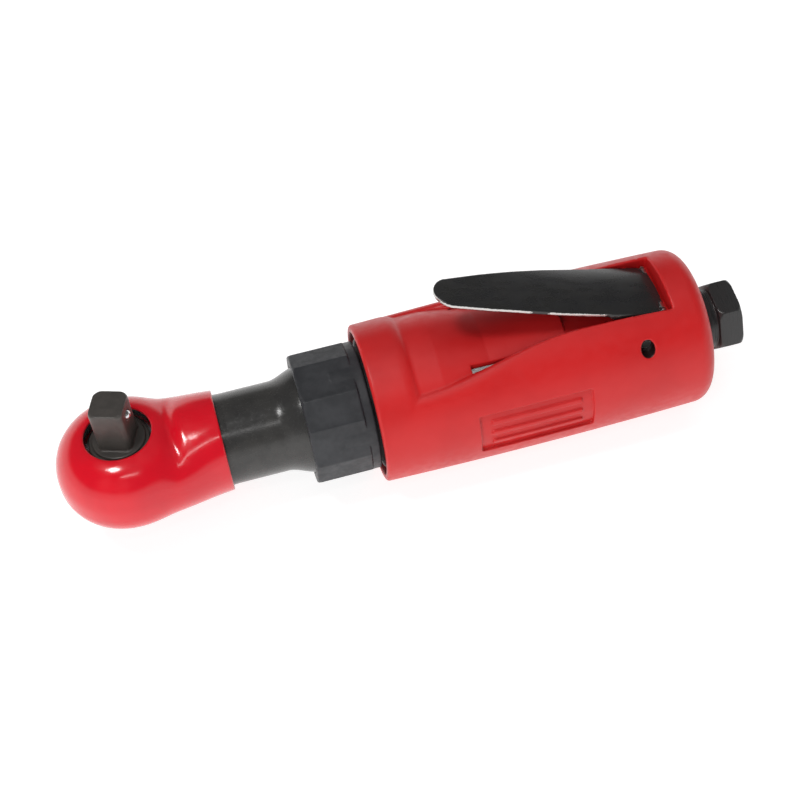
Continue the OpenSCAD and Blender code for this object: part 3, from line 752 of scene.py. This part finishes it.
def lever(x, y, z):
    """Sheet-steel lever with its ears and the lip behind its pin."""
    u, w, off = lever_parts(x, y, z)
    side = np.abs(y)
    half = lever_half(u)
    ahead = np.maximum(-u + LEVER_TIP + 4.6, 0)
    nose = np.hypot(ahead, side - np.minimum(side, half - 4.4)) - 4.5
    outline = np.where(u < LEVER_TIP + 4.6, nose, side - half)
    plate = both(np.abs(off) - LEVER_T / 2, both(outline, u - LEVER_REAR, 1.0), 0.25)
    lip = both(slab(u, 5.8, 7), both(side - 9.2, slab(w, 5.2, 6.6)), 0.3)
    front = (-u - 9.4) * 0.62 + (4.2 - w) * 0.78
    back = (u - 6.5) * 0.8 + (4.2 - w) * 0.6
    profile = both(both(front, back, 3.0), -w - 3.2, 3.0)
    profile = both(profile, slab(u, -9.7, 6.6), 0.4)
    ear = both(slab(side, 8.3, 9.5), both(profile, w - 6.0 + 0.1 * side, 0.4), 0.25)
    solid = np.minimum(join(plate, ear, 0.8), lip)
    return cut(solid, np.hypot(u, w) - 1.55, 0.2)


def mark_rim(obj):
    """Marks how much of each point of the lever is cut edge and not painted face."""
    co = np.empty(len(obj.data.vertices) * 3, np.float32)
    obj.data.vertices.foreach_get("co", co)
    p = co.reshape(-1, 3) / MM
    off = lever_parts(*p.T)[2]
    plate = np.abs(np.abs(off) - LEVER_T / 2)
    ear = np.abs(np.abs(np.abs(p[:, 1]) - EAR_MIDDLE) - LEVER_T / 2)
    skin = np.minimum(plate, ear)
    rim = np.clip((skin - 0.12) / 0.15, 0, 1)
    attribute = obj.data.attributes.new("rim", "FLOAT", "POINT")
    attribute.data.foreach_set("value", rim.astype(np.float32))


# ---------- small visible pieces ----------

def spun(name, profile, material, place, steps=96):
    """Closed ring of a cross-section about its own Z, put in place by a matrix in millimetres."""
    count = len(profile)
    points = [(r * math.cos(a), r * math.sin(a), h)
              for a in (2 * math.pi * i / steps for i in range(steps)) for r, h in profile]
    faces = [(i * count + j, (i + 1) % steps * count + j,
              (i + 1) % steps * count + (j + 1) % count, i * count + (j + 1) % count)
             for i in range(steps) for j in range(count)]
    moved = [tuple(place @ Vector(p)) for p in points]
    obj = make_mesh(name, np.array(moved), np.array(faces), material)
    obj.data.set_sharp_from_angle(angle=math.radians(35))
    return obj


def along_x(x):
    """Turns a part's own Z along X and moves it to x."""
    return Matrix.Translation((x, 0, 0)) @ Matrix.Rotation(math.pi / 2, 4, "Y")


def deflector():
    """Pressed ring inside the front rim of the grip, near black as painted shade in the gap."""
    inner, outer, deep = 19.35, 20.93, 1.2
    profile = [(inner, 0.4), (19.9, 0.0), (20.6, 0.15), (outer, 0.6), (outer, deep), (inner, deep)]
    # Painted shade: the ring is made near black so that the gap behind the nut reads as dark.
    shade = soft_material("ring_painted_shade", (0.022, 0.022, 0.022), 0.45, (0.03, 0.03, 0.03), 0.5, 0.005)
    obj = spun("exhaust_ring", profile, shade, along_x(71.4), 144)
    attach(obj, "body")
    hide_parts("exhaust_deflector")


# ---------- scene ----------

def build_pieces(materials):
    """Finer meshes in place of the CAD's visible round and moulded pieces."""
    drive_steel = drive_material()
    inlet_steel = inlet_material()
    fine = 1.0
    shaped("head_cover_skin", head_cover, COVER_LOW, COVER_HIGH, 0.35 * fine,
           materials["cover_red"], "body", "cover_red", "head_cover")
    shaped("ratchet_housing_body", housing, *box_mm("ratchet_housing"), 0.45 * fine,
           materials["dark_steel"], "body", "dark_steel", "ratchet_housing")
    shaped("clamp_nut_body", nut, NUT_LOW, NUT_HIGH, 0.3 * fine,
           materials["nut_black"], "body", "nut_black", "clamp_nut")
    shaped("grip_body", grip, GRIP_LOW, GRIP_HIGH, 0.4 * fine,
           materials["casing_red"], "body", "casing_red", "grip_casing")
    shaped("air_inlet_body", inlet, INLET_LOW, INLET_HIGH, 0.27 * fine,
           inlet_steel, "body", "dark_steel", "air_inlet")
    shaped("square_drive", drive, DRIVE_LOW, DRIVE_HIGH, 0.22 * fine,
           drive_steel, "drive", "dark_steel", "anvil")
    shaped("reverse_knob_body", reverser, *box_mm("reverse_knob"), 0.25 * fine,
           drive_steel, "reverser", "dark_steel", "reverse_knob")
    blade = shaped("throttle_lever_blade", lever, *box_mm("throttle_lever"), 0.27 * fine,
                   materials["lever_black"], "lever", "lever_black", "throttle_lever")
    mark_rim(blade)
    deflector()


def dress_cad_nodes(materials):
    """Gives every CAD node that stays the material of its slot."""
    slots = {row["node"]: row["material_slot"] for row in frame["record"]["subparts"]}
    for name, obj in NODES.items():
        obj.data.materials.clear()
        obj.data.materials.append(materials[slots[name]])
    NODES["lever_pin"].data.materials[0] = materials["dark_steel"]


def floor():
    """White paper under the grip, lit from within as well so that it stays white."""
    bpy.ops.mesh.primitive_plane_add(size=6, location=(0.08, 0, GRIP_LOW[2] * MM - 0.0005))
    plane = bpy.context.object
    plane.name = "floor"
    s = Shader("floor_paper", (0.5, 0.5, 0.5), 0.8, specular=0.1)
    s.vary_rough(0.05, 40)
    s.bump(1.5, 0.01)
    s.set("Emission Color", (1, 1, 1, 1))
    s.set("Emission Strength", 0.8)
    plane.data.materials.append(s.material)


def area_light(name, place, target, size, power, glossy=True):
    """Rectangular light in metres and watts; with glossy off it isn't mirrored in the tool."""
    light = bpy.data.lights.new(name, "AREA")
    light.shape = "RECTANGLE"
    light.size, light.size_y = size
    light.energy = power
    obj = bpy.data.objects.new(name, light)
    obj.visible_glossy = glossy
    obj.location = place
    obj.rotation_euler = (Vector(target) - Vector(place)).to_track_quat("-Z", "Y").to_euler()
    bpy.context.scene.collection.objects.link(obj)


def studio():
    """White surroundings at eye height, dim overhead, with soft lights above the tool."""
    world = bpy.data.worlds.new("studio")
    bpy.context.scene.world = world
    world.use_nodes = True
    tree = world.node_tree
    place = tree.nodes.new("ShaderNodeTexCoord").outputs["Generated"]
    split = tree.nodes.new("ShaderNodeSeparateXYZ")
    tree.links.new(place, split.inputs[0])
    height = tree.nodes.new("ShaderNodeMapRange")
    height.interpolation_type = "SMOOTHSTEP"
    tree.links.new(split.outputs["Z"], height.inputs["Value"])
    levels = {"From Min": 0.10, "From Max": 0.36, "To Min": 1.0, "To Max": 0.10}
    for socket, value in levels.items():
        height.inputs[socket].default_value = value
    tree.links.new(height.outputs[0], tree.nodes["Background"].inputs["Strength"])
    tree.nodes["Background"].inputs["Color"].default_value = (1, 1, 1, 1)
    middle = (0.06, 0, 0)
    area_light("key", (-0.22, -0.10, 0.88), middle, (0.16, 0.16), 2.6)
    area_light("streak", (0.03, -0.48, 0.80), middle, (0.40, 0.06), 0.5)
    area_light("fill", (-0.34, -0.55, 0.36), middle, (0.6, 0.6), 2.5, glossy=False)
    area_light("top", (0.2, 0.1, 0.95), middle, (0.9, 0.9), 2.6, glossy=False)


def camera():
    """Camera looking down at the tool from its front left."""
    data = bpy.data.cameras.new("camera")
    data.lens = CAMERA_LENS
    data.sensor_width = 36
    data.clip_start = 0.01
    obj = bpy.data.objects.new("camera", data)
    obj.location = CAMERA_PLACE
    obj.rotation_euler = Euler([math.radians(a) for a in CAMERA_TURN])
    bpy.context.scene.collection.objects.link(obj)
    bpy.context.scene.camera = obj


def main():
    bpy.context.scene.view_settings.view_transform = "Standard"
    materials = cad_materials()
    dress_cad_nodes(materials)
    build_pieces(materials)
    floor()
    studio()
    camera()


main()
